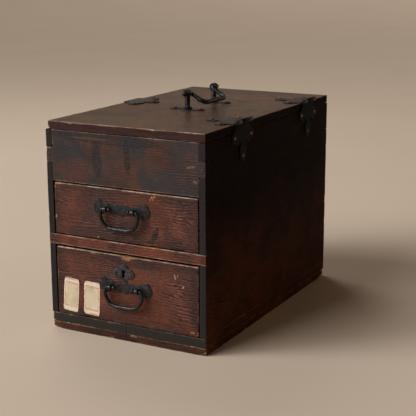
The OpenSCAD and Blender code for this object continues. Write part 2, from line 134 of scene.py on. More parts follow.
def set_values(ob, label, values):
    """Stores one number per vertex, which the materials read by its label."""
    layer = ob.data.attributes.new(label, "FLOAT", "POINT")
    layer.data.foreach_set("value", np.asarray(values, np.float32))


def ring_faces(first, rings, sides):
    """The quads between rings of vertices that follow each other from number first on."""
    faces = []
    for ring in range(rings - 1):
        for k in range(sides):
            a, b = first + ring * sides + k, first + ring * sides + (k + 1) % sides
            faces.append((a, b, b + sides, a + sides))
    return faces


def place(ob, body, slot_name, material, *nodes, flank=None):
    """Rides ob on its body, gives it its finish, and lets it stand for the CAD nodes.

    flank is the finish of the faces that look along X, where it isn't the same.
    """
    ob.data.materials.clear()
    ob.data.materials.append(material)
    if flank:
        ob.data.materials.append(flank)
        for face in ob.data.polygons:
            face.material_index = int(abs(face.normal.x) > 0.7)
    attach(ob, body)
    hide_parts(*nodes)


# ---------------------------------------- materials

class Shader:
    """A Principled material with short calls for its procedural nodes."""

    def __init__(self, name):
        self.mat = bpy.data.materials.new(name)
        self.mat.use_nodes = True
        self.nodes = self.mat.node_tree.nodes
        self.links = self.mat.node_tree.links
        self.bsdf = self.nodes["Principled BSDF"]
        self.coord = self.nodes.new("ShaderNodeTexCoord")

    def put(self, socket, value):
        if isinstance(value, bpy.types.NodeSocket):
            self.links.new(value, socket)
        elif isinstance(value, tuple) and len(value) == 3 and len(socket.default_value) == 4:
            socket.default_value = (*value, 1)
        else:
            socket.default_value = value

    def math(self, op, a, b=0.0, clamp=False):
        node = self.nodes.new("ShaderNodeMath")
        node.operation, node.use_clamp = op, clamp
        self.put(node.inputs[0], a)
        self.put(node.inputs[1], b)
        return node.outputs[0]

    def plus(self, a, b):
        return self.math("ADD", a, b)

    def minus(self, a, b):
        return self.math("SUBTRACT", a, b)

    def times(self, a, b, clamp=False):
        return self.math("MULTIPLY", a, b, clamp)

    def mix(self, amount, a, b):
        node = self.nodes.new("ShaderNodeMix")
        node.data_type = "RGBA"
        self.put(node.inputs[0], amount)
        self.put(node.inputs[6], a)
        self.put(node.inputs[7], b)
        return node.outputs[2]

    def ramp(self, value, stops):
        node = self.nodes.new("ShaderNodeValToRGB")
        elements = node.color_ramp.elements
        while len(elements) < len(stops):
            elements.new(0.5)
        for element, (at, colour) in zip(elements, stops):
            element.position = at
            element.color = (*(colour if isinstance(colour, tuple) else 3 * (colour,)), 1)
        self.put(node.inputs[0], value)
        return node.outputs[0]

    def noise(self, vector, scale, detail, rough, distortion=0.0):
        node = self.nodes.new("ShaderNodeTexNoise")
        for socket, value in (("Vector", vector), ("Scale", scale), ("Detail", detail),
                              ("Roughness", rough), ("Distortion", distortion)):
            self.put(node.inputs[socket], value)
        return node.outputs[0]

    def cells(self, vector, scale):
        node = self.nodes.new("ShaderNodeTexVoronoi")
        self.put(node.inputs["Vector"], vector)
        node.inputs["Scale"].default_value = scale
        return node.outputs["Distance"]

    def split(self, vector):
        node = self.nodes.new("ShaderNodeSeparateXYZ")
        self.put(node.inputs[0], vector)
        return node.outputs

    def join(self, x, y, z):
        node = self.nodes.new("ShaderNodeCombineXYZ")
        for socket, value in zip(node.inputs, (x, y, z)):
            self.put(socket, value)
        return node.outputs[0]

    def scaled(self, parts, rates):
        """The vector of three values, each times its own rate."""
        return self.join(*(self.times(part, rate) for part, rate in zip(parts, rates)))

    def attribute(self, name):
        node = self.nodes.new("ShaderNodeAttribute")
        node.attribute_name = name
        return node.outputs["Fac"]

    def bump(self, height, strength, distance, normal=None):
        node = self.nodes.new("ShaderNodeBump")
        node.inputs["Strength"].default_value = strength
        node.inputs["Distance"].default_value = distance
        self.put(node.inputs["Height"], height)
        if normal:
            self.put(node.inputs["Normal"], normal)
        return node.outputs[0]

    def finish(self, colour, rough, normal, metallic=0.0, coat=0.0, specular=0.5):
        for socket, value in (("Base Color", colour), ("Roughness", rough), ("Normal", normal),
                              ("Metallic", metallic), ("Coat Weight", coat),
                              ("Coat Roughness", 0.3), ("Specular IOR Level", specular)):
            self.put(self.bsdf.inputs[socket], value)
        return self.mat


SPOT_SOFT = 0.35  # how much of a spot's reach its soft edge takes


def spot(s, axes, across, up, wide, high, lean):
    """A soft-edged patch on a board's face, 1 in its middle; places and sizes in millimetres."""
    c, n = math.cos(math.radians(lean)), math.sin(math.radians(lean))
    dx = s.minus(axes[0], across * MM)
    dy = s.minus(axes[1], up * MM)
    u = s.plus(s.times(dx, c / (wide * MM)), s.times(dy, n / (wide * MM)))
    v = s.plus(s.times(dx, -n / (high * MM)), s.times(dy, c / (high * MM)))
    far = s.plus(s.times(u, u), s.times(v, v))
    return s.math("DIVIDE", s.minus(1.0, far), SPOT_SOFT, clamp=True)


RUST_ORANGE = (0.36, 0.13, 0.045)
SCRATCH = (0.66, 0.29, 0.08)
CREAM = (0.55, 0.42, 0.28)
SMUDGE = (0.012, 0.010, 0.010)
SCUFF = (0.30, 0.25, 0.22)
SOOT = (0.017, 0.0175, 0.021)
RUSSET = (0.115, 0.038, 0.030)

END = (0.032, 0.029, 0.029)
# the pale of worn edges: bare wood, and in part a painted highlight on the rounded arris
WORN_AND_HIGHLIT = (0.46, 0.34, 0.27)
EDGE_DARK = (0.016, 0.0095, 0.0090)
# painted shade: the near-black to which the sides darken towards their top
SIDE_SHADE_TOP = (0.0030, 0.0018, 0.0014)
COLD = ((0.010, 0.0115, 0.014), (0.050, 0.054, 0.062))  # the blue-black of mottled patches
# rubbed lines, orange to cream: worn wood, the cream partly a painted highlight along the arrises
RUBBED_AND_HIGHLIT = ((0.34, 0.14, 0.06), (0.85, 0.69, 0.55))
CHIPPED = ((0.30, 0.10, 0.03), (0.62, 0.27, 0.10))

# how often the grain changes per metre along, across and through a board
SLOW_WARP = (9, 28, 28)
SHORT_WARP = (85, 120, 120)
FIBRES = (200, 1150, 1150)
HAIRS = (300, 2900, 2900)
RINGS_PER_METRE = 400


def tinted(tone, by):
    return tuple(a * b for a, b in zip(tone, by))


def shaded(tone, by):
    return tuple(by * c for c in tone)


def grain_pattern(s, along, across, through, wavy):
    """Growth rings, bent by a slow and a short warp, and the fibres and fine hairs between them."""
    slow = s.noise(s.scaled((along, across, through), SLOW_WARP), 1, 3, 0.5)
    short = s.noise(s.scaled((along, across, through), SHORT_WARP), 1, 2, 0.5)
    ring_at = s.plus(s.plus(across, s.times(through, 0.4)),
                     s.plus(s.times(slow, 0.026 * wavy), s.times(short, 0.0022 * wavy)))
    ring = s.plus(s.times(s.math("SINE", s.times(ring_at, 2 * math.pi * RINGS_PER_METRE)), 0.5), 0.5)
    fibre = s.noise(s.scaled((along, ring_at, through), FIBRES), 1, 3, 0.62)
    hair = s.noise(s.scaled((along, ring_at, through), HAIRS), 1, 2, 0.5)
    return ring, fibre, hair


def fade_to_edges(s, colour, axes, patina, node):
    """Darkens a front's finish towards the edges of its CAD node."""
    low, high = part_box(node)
    sideways = (s.minus(axes[0], low.x), s.minus(high.x, axes[0]))
    upright = (s.minus(axes[2], low.z), s.minus(high.z, axes[2]))
    gap = s.math("MINIMUM", s.math("MINIMUM", *sideways), s.math("MINIMUM", *upright))
    gap = s.plus(gap, s.times(s.minus(patina, 0.5), 0.045))
    edge = s.ramp(s.times(gap, 50), [(0.0, 1.0), (0.75, 0.0)])
    return s.mix(s.times(edge, 0.62), colour, EDGE_DARK)


def wear_away(s, colour, at, blotch, hair, worn, worn_tone):
    """Wears the finish off along edges, rubbed lines and chips, the pale of edges and lines partly a
    painted highlight: the new colour, and the edges' wear.
    """
    broken = s.ramp(s.noise(at, 260, 4, 0.65), [(0.40, 0.0), (0.60, 1.0)])
    wear = s.times(s.attribute("wear"), broken)
    # worn edges go from orange to pale; the pale is bare wood and partly a painted highlight on the arris
    worn_pale_and_highlight = s.ramp(blotch, [(0.44, RUST_ORANGE), (0.58, worn_tone)])
    colour = s.mix(s.times(wear, worn, clamp=True), colour, worn_pale_and_highlight)
    # rubbed lines along the fronts: worn wood from orange to cream, the cream partly a painted highlight
    line = s.times(s.attribute("rubbed"), s.ramp(broken, [(0.0, 0.55), (0.6, 1.0)]), clamp=True)
    colour = s.mix(line, colour, s.mix(blotch, *RUBBED_AND_HIGHLIT))
    chip = s.times(s.attribute("chip"), s.ramp(s.noise(at, 420, 3, 0.6), [(0.30, 0.35), (0.60, 1.0)]))
    return s.mix(chip, colour, s.mix(hair, *CHIPPED)), wear


def add_marks(s, colour, at, flat, fibre, marks):
    """Paints a board's own ragged scratches, smudges and stains."""
    ragged = s.ramp(s.noise(at, 520, 3, 0.7), [(0.36, 0.0), (0.58, 1.0)])
    for *where, tone, strength in marks:
        patch = spot(s, flat, *where)
        shape = s.times(ragged, fibre) if tone == RUSSET else ragged
        colour = s.mix(s.times(s.times(patch, shape), strength), colour, tone)
    return colour


def wood(name, grain, tones, seed, end_tone=END, worn_tone=WORN_AND_HIGHLIT, rough=0.42, marks=(), wavy=1.0,
         gloss=0.04, mottle=0.0, plane="xz", worn=0.8, fine=1.0, shine=0.22, fade=None, face=None,
         shade_climb=None, stained=1.0):
    """Lacquered or bare wood. grain names the axes along, across and through the board.

    mottle is how far the finish has gone blue-black in patches; marks are (place, place, width,
    height, lean, tone, strength) patches in the plane's two axes. fade names a CAD node towards
    whose edges the finish darkens; face is the tone of surfaces that look along Y; climb is the
    pair of heights between which painted shade darkens the finish upwards; stained is how patchy
    it is.
    """
    s = Shader(name)
    at = s.coord.outputs["Object"]
    axes = s.split(at)
    along, across, through = (axes["xyz".index(a)] for a in grain)
    ring, fibre, hair = grain_pattern(s, s.plus(along, seed * 0.37), across, through, wavy)
    pores = s.ramp(fibre, [(0.30, 1.0), (0.42, 0.0)])
    patina = s.noise(at, 24, 5, 0.6, 0.6)
    blotch = s.noise(at, 80, 4, 0.55, 0.3)

    # some parts of a board are rough and some are smooth
    open_grain = s.ramp(s.noise(at, 15, 3, 0.5), [(0.36, 0.5), (0.62, 1.2)])
    value = s.plus(s.times(ring, 0.22), s.times(fibre, 0.95 * fine))
    value = s.minus(value, 0.11 + 0.475 * fine)
    value = s.plus(s.times(value, open_grain), 0.285)
    value = s.plus(value, s.times(hair, 0.20))
    value = s.plus(value, s.times(blotch, 0.23))
    dark, middle, light = tones
    colour = s.ramp(value, [(0.30, dark), (0.50, middle), (0.74, light)])

    # the stains of age, and how the finish changes over the board
    warm = s.ramp(s.noise(at, 19, 4, 0.55, 0.4), [(0.40, 0.0), (0.62, 1.0)])
    rust = s.mix(fibre, tinted(middle, (1.32, 0.88, 0.55)), tinted(light, (1.30, 0.88, 0.50)))
    colour = s.mix(s.times(warm, 0.7 * stained), colour, rust)
    grime = s.ramp(patina, [(0.42, 0.0), (0.62, 1.0)])
    colour = s.mix(s.times(grime, 0.55 * stained), colour, shaded(middle, 0.38))
    if fade:
        colour = fade_to_edges(s, colour, axes, patina, fade)
    # painted shade: between the heights in climb the finish turns near-black upwards, standing in for the
    # shadow on the upper sides
    if shade_climb:
        up = s.math("DIVIDE", s.minus(axes[2], shade_climb[0]), shade_climb[1] - shade_climb[0], clamp=True)
        colour = s.mix(s.times(up, 0.92), colour, SIDE_SHADE_TOP)
    if face:
        facing = s.math("ABSOLUTE", s.split(s.coord.outputs["Normal"])[1])
        side_on = s.ramp(facing, [(0.5, 0.0), (0.8, 1.0)])
        colour = s.mix(side_on, colour, s.mix(value, shaded(face, 0.4), shaded(face, 1.7)))
    if mottle:
        patch = s.ramp(s.noise(at, 27, 5, 0.6, 0.8), [(0.44, 0.0), (0.58, 1.0)])
        colour = s.mix(s.times(patch, mottle), colour, s.mix(fibre, *COLD))

    # end grain: where the surface faces along the grain
    facing = s.split(s.coord.outputs["Normal"])["xyz".index(grain[0])]
    end = s.ramp(s.math("ABSOLUTE", facing), [(0.62, 0.0), (0.86, 1.0)])
    speckle = s.noise(at, 900, 3, 0.6)
    colour = s.mix(end, colour, s.mix(speckle, shaded(end_tone, 0.45), shaded(end_tone, 1.5)))

    colour, wear = wear_away(s, colour, at, blotch, hair, worn, worn_tone)
    colour = add_marks(s, colour, at, [axes["xyz".index(a)] for a in plane], fibre, marks)

    height = s.plus(s.times(fibre, 0.9), s.times(ring, 0.25))
    height = s.plus(height, s.times(hair, 0.2))
    dents = s.ramp(s.cells(at, 85), [(0.0, 0.0), (0.16, 1.0)])
    normal = s.bump(dents, 0.12, 0.0004)
    normal = s.bump(height, 0.8 * min(fine, 1.0), 0.0006, normal)
    sheen = s.plus(rough - 0.10, s.times(blotch, 0.20))
    sheen = s.plus(sheen, s.times(pores, 0.20))
    sheen = s.plus(sheen, s.times(wear, 0.12))
    return s.finish(colour, sheen, normal, coat=gloss, specular=shine)


IRON_DARK, IRON_LIGHT = (0.011, 0.012, 0.0135), (0.046, 0.049, 0.056)
OLD_RUST = ((0.035, 0.014, 0.007), (0.155, 0.060, 0.026))
FRESH_RUST = (0.75, 0.21, 0.04)


def iron(name, rust, tone, rough, metal=0.55, shine=0.5):
    """Blackened, hammered iron with rust in its hollows."""
    s = Shader(name)
    at = s.coord.outputs["Object"]
    hammer = s.noise(at, 330, 3, 0.5)
    pits = s.noise(at, 1600, 3, 0.6)
    patches = s.noise(at, 140, 5, 0.65, 0.5)
    colour = s.ramp(hammer, [(0.30, shaded(IRON_DARK, tone)), (0.72, shaded(IRON_LIGHT, tone))])
    red = s.ramp(patches, [(0.66 - rust * 0.35, 0.0), (0.80 - rust * 0.25, 1.0)])
    rust_tone = s.mix(pits, *OLD_RUST)
    rust_tone = s.mix(s.times(s.attribute("fresh"), hammer), rust_tone, FRESH_RUST)
    colour = s.mix(s.times(red, 0.85), colour, rust_tone)
    height = s.plus(hammer, s.times(pits, 0.25))
    normal = s.bump(height, 0.7, 0.0005)
    gloss = s.plus(rough - 0.08, s.times(pits, 0.14))
    gloss = s.plus(gloss, s.times(red, 0.28))
    return s.finish(colour, gloss, normal, metallic=metal, specular=shine)


PAPER_TONES = ((0.58, 0.46, 0.30), (0.76, 0.65, 0.47), (0.84, 0.75, 0.59))
PAPER_FIBRE = (0.50, 0.38, 0.24)
PAPER_MIDDLE = (0.58, 0.56, 0.38)
PAPER_RIM = (0.88, 0.80, 0.67)
PAPER_BROWN = (0.42, 0.27, 0.14)
INK = (0.66, 0.12, 0.06)
DOTS_PER_METRE = 620


def paper(name, centre, half, lean):
    """Aged paper: fibres, foxing, a faint tint in the middle and a worn printed border."""
    s = Shader(name)
    at = s.coord.outputs["Object"]
    axes = s.split(at)
    c, n = math.cos(lean), math.sin(lean)
    dx = s.minus(axes[0], centre[0])
    dz = s.minus(axes[2], centre[2])
    u = s.minus(s.times(dx, c), s.times(dz, n))
    v = s.plus(s.times(dx, n), s.times(dz, c))
    stain = s.noise(at, 70, 5, 0.6, 0.4)
    fibre = s.noise(at, 1300, 3, 0.6)
    colour = s.ramp(stain, list(zip((0.30, 0.50, 0.75), PAPER_TONES)))
    colour = s.mix(s.times(fibre, 0.14), colour, PAPER_FIBRE)
    # how far a point lies from the middle, as shares of the half width and height
    along_x = s.math("DIVIDE", s.math("ABSOLUTE", u), half[0])
    along_z = s.math("DIVIDE", s.math("ABSOLUTE", v), half[1])
    edge = s.math("MAXIMUM", along_x, s.plus(along_z, 0.10))
    middle = s.ramp(edge, [(0.50, 1.0), (0.62, 0.0)])
    colour = s.mix(s.times(middle, 0.35), colour, PAPER_MIDDLE)
    # border of small printed dots, worn away in places
    line = s.ramp(edge, [(0.72, 0.0), (0.75, 1.0), (0.80, 1.0), (0.83, 0.0)])
    rows, columns = (s.math("SINE", s.times(w, 2 * math.pi * DOTS_PER_METRE)) for w in (u, v))
    dots = s.ramp(s.math("ABSOLUTE", s.times(rows, columns)), [(0.25, 0.25), (0.55, 1.0)])
    worn = s.ramp(s.noise(at, 210, 3, 0.6), [(0.34, 0.0), (0.50, 1.0)])
    colour = s.mix(s.times(s.times(line, dots), worn), colour, INK)
    rim = s.ramp(edge, [(0.80, 0.0), (0.90, 1.0)])
    colour = s.mix(s.times(rim, 0.6), colour, PAPER_RIM)
    outer = s.ramp(edge, [(0.93, 0.0), (1.02, 1.0)])
    brown = s.times(outer, s.ramp(stain, [(0.45, 0.0), (0.55, 1.0)]))
    colour = s.mix(s.times(brown, 0.7), colour, PAPER_BROWN)
    normal = s.bump(s.plus(fibre, s.times(stain, 2.0)), 0.5, 0.0003)
    return s.finish(colour, s.plus(0.74, s.times(fibre, 0.16)), normal, specular=0.25)


FLOOR_TONES = ((0.65, 0.54, 0.43), (0.72, 0.60, 0.48))
FLAT_TO, OUT_TO, FLOOR_RISE = 4.5, 9.0, 3.2  # where the curve starts and ends, and how high
FLOOR_SIDES = 96


def floor_paint():
    s = Shader("pale_floor")
    mottle = s.noise(s.coord.outputs["Object"], 3, 4, 0.6)
    colour = s.mix(mottle, *FLOOR_TONES)
    return s.finish(colour, 0.75, s.bump(mottle, 0.05, 0.001), specular=0.2)


def make_floor():
    """A round floor, flat in the middle and then curving up, so that no view sees past its edge."""
    sides = FLOOR_SIDES
    turns = [k * 2 * math.pi / sides for k in range(sides)]
    radii = [0.5, 1.5, 3.0, *np.linspace(FLAT_TO, OUT_TO, 14)]
    verts = [(0, 0, 0)]
    for radius in radii:
        height = FLOOR_RISE * max(0.0, (radius - FLAT_TO) / (OUT_TO - FLAT_TO)) ** 2
        verts += [(radius * math.cos(turn), radius * math.sin(turn), height) for turn in turns]
    faces = [(0, 1 + k, 1 + (k + 1) % sides) for k in range(sides)]
    for ring in range(len(radii) - 1):
        inner, outer = 1 + ring * sides, 1 + (ring + 1) * sides
        for k in range(sides):
            faces.append((inner + k, outer + k, outer + (k + 1) % sides, inner + (k + 1) % sides))
    floor = new_object("floor", verts, faces)
    floor.location.z = -0.00005  # just under the cabinet
    floor.data.materials.append(floor_paint())


# ---------------------------------------- boards

NEAR_EDGE = (0.25, 0.6, 1.1, 1.8, 3.0)  # millimetres from each edge to a closer grid line


def grid_lines(lo, hi, marks, step):
    """Positions from lo to hi: every mark, closer ones beside it, and even ones between."""
    found = set()
    for mark in marks:
        for away in (0, *NEAR_EDGE, *(-n for n in NEAR_EDGE)):
            at = mark + away * MM
            if lo - 1e-7 <= at <= hi + 1e-7:
                found.add(round(at, 6))
    fixed = np.array(sorted(found))
    for at in np.linspace(lo, hi, max(2, round((hi - lo) / step) + 1)):
        if np.abs(fixed - at).min() > step * 0.35:
            found.add(round(float(at), 6))
    return np.array(sorted(found))


def block_mesh(boxes, step):
    """The surface of a union of boxes as a grid of quads: its vertices and faces."""
    lo = np.min([b[0] for b in boxes], axis=0)
    hi = np.max([b[1] for b in boxes], axis=0)
    lines = [grid_lines(lo[a], hi[a], sorted({b[e][a] for b in boxes for e in (0, 1)}), step)
             for a in range(3)]
    mids = [(line[1:] + line[:-1]) / 2 for line in lines]
    full = np.zeros([len(m) for m in mids], bool)
    for low, high in boxes:
        inside = [(mids[a] > low[a]) & (mids[a] < high[a]) for a in range(3)]
        full |= inside[0][:, None, None] & inside[1][None, :, None] & inside[2][None, None, :]
    padded = np.pad(full, 1)
    size = [len(line) for line in lines]
    quads = []
    for axis in range(3):
        b, c = (axis + 1) % 3, (axis + 2) % 3
        for side in (0, 1):
            beside = np.roll(padded, -1 if side else 1, axis)[1:-1, 1:-1, 1:-1]
            cells = np.argwhere(full & ~beside)
            corners = []
            for db, dc in ((0, 0), (1, 0), (1, 1), (0, 1)) if side else ((0, 0), (0, 1), (1, 1), (1, 0)):
                corner = cells.copy()
                corner[:, axis] += side
                corner[:, b] += db
                corner[:, c] += dc
                corners.append((corner[:, 0] * size[1] + corner[:, 1]) * size[2] + corner[:, 2])
            quads.append(np.stack(corners, 1))
    quads = np.concatenate(quads)
    used, faces = np.unique(quads, return_inverse=True)
    faces = faces.reshape(quads.shape)
    i, rest = np.divmod(used, size[1] * size[2])
    j, k = np.divmod(rest, size[2])
    return np.stack([lines[0][i], lines[1][j], lines[2][k]], 1), faces


def round_edges(points, boxes, radius):
    """Points pulled in to rounded edges of that radius, which may differ from point to point."""
    best = np.full(len(points), np.inf)
    moved = points.copy()
    for low, high in boxes:
        low, high = np.array(low), np.array(high)
        inside = ((points >= low - 1e-6) & (points <= high + 1e-6)).all(1)
        r = np.minimum(radius, 0.49 * (high - low).min())[:, None]
        core = np.clip(points, low + r, high - r)
        out = points - core
        length = np.linalg.norm(out, axis=1)[:, None]
        there = np.where(length > r, core + out / np.maximum(length, 1e-9) * r, points)
        shift = np.linalg.norm(there - points, axis=1)
        better = inside & (shift < best)
        moved[better] = there[better]
        best = np.where(better, shift, best)
    return moved, np.where(np.isfinite(best), best, 0)


def board(name, boxes, step=4.0, edge=0.55, wear=1.0, chips=(), sag=0.07, seed=1, rubbed=(), joints=()):
    """A worn board: rounded, nicked edges, chips, and a slightly uneven surface.

    chips are (x, y, z, reach, depth, bare) in millimetres: the edges within reach of that point
    are worn down by up to depth more, and bare is how much raw wood that shows. rubbed are
    (height, reach, strength) of lines along the front that hands have rubbed, their cream partly a
    painted highlight on the arris; joints are (axis, place) planes where a neighbour keeps the
    edge crisp.
    """
    points, faces = block_mesh(boxes, step * MM)
    slow = waves(points, 45, seed)
    quick = waves(points, 190, seed + 100)
    radius = edge * (1 + 0.45 * slow + 0.30 * quick)
    nicks = np.clip(waves(points, 75, seed + 200) - 0.62, 0, 1) * 5.0 * wear
    radius = np.clip(radius + nicks * edge, 0.12, 6)
    crisp = np.zeros(len(points))
    for axis, at in joints:
        crisp = np.maximum(crisp, np.clip(2 - np.abs(points[:, axis] - at) / (2.0 * MM), 0, 1))
    radius = radius * (1 - crisp) + 0.15 * crisp
    bare = np.zeros(len(points))
    for x, y, z, reach, depth, shown in chips:
        away = np.linalg.norm(points - np.array([x, y, z]) * MM, axis=1) / (reach * MM)
        ragged = 1 + 0.35 * waves(points, 320, seed + 300)
        amount = np.clip(1 - away ** 2, 0, 1) * ragged
        radius = radius + depth * amount
        bare = np.maximum(bare, np.clip(amount * 1.6, 0, 1) * shown)
    moved, shift = round_edges(points, boxes, radius * MM)
    # the faces dip a little, never outwards
    middle = (np.mean([b[0] for b in boxes], 0) + np.mean([b[1] for b in boxes], 0)) / 2
    toward = np.sign(middle - moved)
    thin = int(np.argmin(np.max([b[1] for b in boxes], 0) - np.min([b[0] for b in boxes], 0)))
    dip = sag * MM * (0.5 + 0.5 * waves(points, 28, seed + 400))
    moved[:, thin] += toward[:, thin] * dip
    ob = new_object(name, moved, faces)
    # how worn each edge is; worn edges are painted pale, partly as a highlight on the arris
    edge_wear_and_highlight = np.clip(shift / (0.30 * MM), 0, 1) * np.clip(0.55 + 0.6 * slow + nicks, 0, 1) * wear
    edge_wear_and_highlight = edge_wear_and_highlight * (1 - crisp)
    front = np.min([b[0][1] for b in boxes])
    lines = np.zeros(len(points))
    for height, reach, strength in rubbed:
        near = np.clip(1.3 - np.abs(points[:, 2] - height) / (reach * MM), 0, 1)
        uneven = np.clip(0.70 + 0.35 * quick + 0.6 * slow, 0.25, 1)
        near = near * (points[:, 1] < front + 1.2 * MM) * uneven
        lines = np.maximum(lines, near * strength)
    set_values(ob, "wear", edge_wear_and_highlight)
    set_values(ob, "chip", np.where(shift > 0.04 * MM, bare, 0))
    set_values(ob, "rubbed", lines)
    return ob


def cad_boxes(node):
    low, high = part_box(node)
    return [(tuple(low), tuple(high))]


def around(box, hole):
    """A box as overlapping boxes that leave the hole, itself a box, free."""
    (low, high), (hole_low, hole_high) = box, hole
    boxes = []
    for k in range(3):
        if hole_low[k] > low[k] + 1e-6:
            boxes.append((low, (*high[:k], hole_low[k], *high[k + 1:])))
        if hole_high[k] < high[k] - 1e-6:
            boxes.append(((*low[:k], hole_high[k], *low[k + 1:]), high))
    return boxes


# ---------------------------------------- iron pieces

TUBE_SIDES = 18
DENTS = 0.05  # how far hammering changes a bar's radius, as a share of it


def tube(name, path, radii, seed):
    """A closed, dented tube with its own radius at each point, its ends drawn to a point."""
    sides = TUBE_SIDES
    path = np.array(path, float)
    ahead = np.gradient(path, axis=0)
    ahead /= np.linalg.norm(ahead, axis=1)[:, None]
    flat = np.linalg.svd(path - path.mean(0))[2][2]
    verts = []
    turns = np.linspace(0, 2 * math.pi, sides, endpoint=False)
    for at, way, r in zip(path, ahead, radii):
        side = np.cross(way, flat)
        verts += [at + r * (math.cos(t) * side + math.sin(t) * flat) for t in turns]
    verts = np.array(verts)
    centre = np.repeat(path, sides, axis=0)
    verts = centre + (verts - centre) * (1 + DENTS * waves(verts, 260, seed))[:, None]
    faces = ring_faces(0, len(path), sides)
    first = list(range(sides))[::-1]
    last = [(len(path) - 1) * sides + k for k in range(sides)]
    verts = list(verts)
    for loop, at in ((first, path[0]), (last, path[-1])):
        verts.append(at)
        faces += [(loop[k], loop[(k + 1) % sides], len(verts) - 1) for k in range(sides)]
    return new_object(name, verts, faces)


def arc(centre, radius, start, end, count):
    turns = [math.radians(a) for a in np.linspace(start, end, count)]
    return [(centre[0] + radius * math.cos(t), centre[1] + radius * math.sin(t)) for t in turns]


def bail_half(side, drop, bar, shoulder, corner, pin, inner, outer, knob_outside):
    """Half of a bail, from the middle of its grip to its knob: points (x, y, radius), in mm.

    side is how far the arm lies from the middle, drop the grip from the pin's line, bar the radius
    of the iron, shoulder and corner the bends' radii, pin the radius where it turns in the post,
    and inner and outer the post's two faces.
    """
    grip = [(x, -drop) for x in np.linspace(0, side - corner, 16)]
    bend = arc((side - corner, corner - drop), corner, -90, 0, 16)[1:]
    arm = [(side, y) for y in np.linspace(corner - drop, -shoulder, 8)][1:]
    out, ends = (1, (inner, outer)) if knob_outside else (-1, (outer, inner))
    turn = arc((side + out * shoulder, -shoulder), shoulder, 90 + out * 90, 90, 9)[1:]
    steps = [(ends[0] - out * 0.3, 0.95), (ends[0] - out * 0.05, 0.82)]
    line = grip + bend + arm + turn
    points = []
    for (x, y), share in zip(line, np.linspace(0, 1, len(line))):
        swell = math.sin(math.pi * share * 1.35) if share * 1.35 < 1 else 0
        points.append((x, y, bar * (0.96 + 0.09 * swell - 0.16 * share ** 3)))
    points += [(x, 0, bar * thin) for x, thin in steps]
    points += [(x, 0, pin) for x in ends]
    knob = bar * 1.15
    ball = ends[1] + out * knob
    for t in np.linspace(0.62, math.pi - 0.05, 10):
        points.append((ball - out * knob * math.cos(t), 0, knob * math.sin(t)))
    return points


def joint_place(name):
    """A joint's place in the frame, in metres."""
    return next(joint for joint in frame["joints"] if joint["name"] == name)["pos_m"]


def make_bail(node, frame_axes, shape, material, seed):
    """A forged bail on the body that has its node's name, drawn from the joint it swings on."""
    pivot = np.array(joint_place(node + "_swing"))
    half = bail_half(**shape)
    x_way, y_way = (np.array(v, float) for v in frame_axes)
    both = [(-x, y, r) for x, y, r in half[:0:-1]] + half
    path = [pivot + MM * (x * x_way + y * y_way) for x, y, _ in both]
    ob = tube(node + "_bar", path, [r * MM for _, _, r in both], seed)
    place(ob, node, "black_iron", material, node)


def islands(node):
    """The separate solids of a CAD node, as (lowest corner, highest corner) pairs."""
    mesh = frame["nodes"][node].data
    points = np.array([v.co for v in mesh.vertices])
    key = {}
    same = np.array([key.setdefault(tuple(np.round(p, 6)), len(key)) for p in points])
    parent = list(range(len(key)))

    def root(i):
        while parent[i] != i:
            parent[i] = parent[parent[i]]
            i = parent[i]
        return i

    for poly in mesh.polygons:
        first = root(same[poly.vertices[0]])
        for v in poly.vertices[1:]:
            parent[root(same[v])] = first
    groups = {}
    for i, p in zip(same, points):
        groups.setdefault(root(i), []).append(p)
    found = [(np.min(g, 0), np.max(g, 0)) for g in groups.values()]
    return sorted(found, key=lambda b: tuple(b[0]))


DOME = 0.57  # height of a nail's head, as a share of its radius
SHANK_WIDE = 0.42  # width of its shank, as a share of the head's
SHANK_DEEP = 3.6 * MM
NAIL_SIDES = 20
RIGHT_SIDE_FROM = 0.09  # nails beyond this x are on the right side, where the rust is fresh


def make_nails(body, material, seed):
    """Domed, slightly uneven nail heads where a body's CAD nails stand, each with its shank."""
    node = body + "_nails"
    rng = np.random.default_rng(seed)
    verts, faces, fresh = [], [], []
    for low, high in islands(node):
        size = high - low
        axis = int(np.argmax(size))
        centre = (low + high) / 2
        out = np.zeros(3)
        out[axis] = 1.0 if axis == 2 else (-1.0 if axis == 1 or centre[0] < 0 else 1.0)
        wide = [a for a in range(3) if a != axis]
        r = size[wide].max() / 2
        top = high[axis] if out[axis] > 0 else low[axis]
        dome = r * DOME
        e1, e2 = np.eye(3)[wide[0]], np.eye(3)[wide[1]]
        if np.dot(np.cross(e1, e2), out) < 0:
            e1, e2 = e2, e1
        start = centre.copy()
        start[axis] = top - out[axis] * dome
        profile = [(SHANK_WIDE * r, -SHANK_DEEP), (SHANK_WIDE * r, -0.02 * MM), (r * 0.97, 0.0)]
        profile += [(r, dome * 0.14)]
        profile += [(r * math.cos(t), dome * (0.14 + 0.86 * math.sin(t)))
                    for t in np.linspace(0.2, 1.45, 7)]
        sides = NAIL_SIDES
        phase, lop = rng.uniform(0, 6.28), rng.uniform(0.02, 0.09)
        first = len(verts)
        for ring_r, h in profile:
            for k in range(sides):
                t = 2 * math.pi * k / sides
                rr = ring_r * (1 - lop * (0.5 + 0.5 * math.cos(t * 2 + phase)))
                verts.append(start + rr * (math.cos(t) * e1 + math.sin(t) * e2) + out * h)
        faces += ring_faces(first, len(profile), sides)
        verts.append(start + out * profile[0][1])
        faces += [(first + (k + 1) % sides, first + k, len(verts) - 1) for k in range(sides)]
        last = first + (len(profile) - 1) * sides
        verts.append(start + out * dome)
        faces += [(last + k, last + (k + 1) % sides, len(verts) - 1) for k in range(sides)]
        red = rng.uniform(0.9, 1.6) if centre[0] > RIGHT_SIDE_FROM else rng.choice([0.1, 0.4, 1.0])
        fresh += [red] * (len(verts) - first)
    ob = new_object(node + "_domes", verts, faces)
    set_values(ob, "fresh", fresh)
    place(ob, body, "nail_iron", material, node)


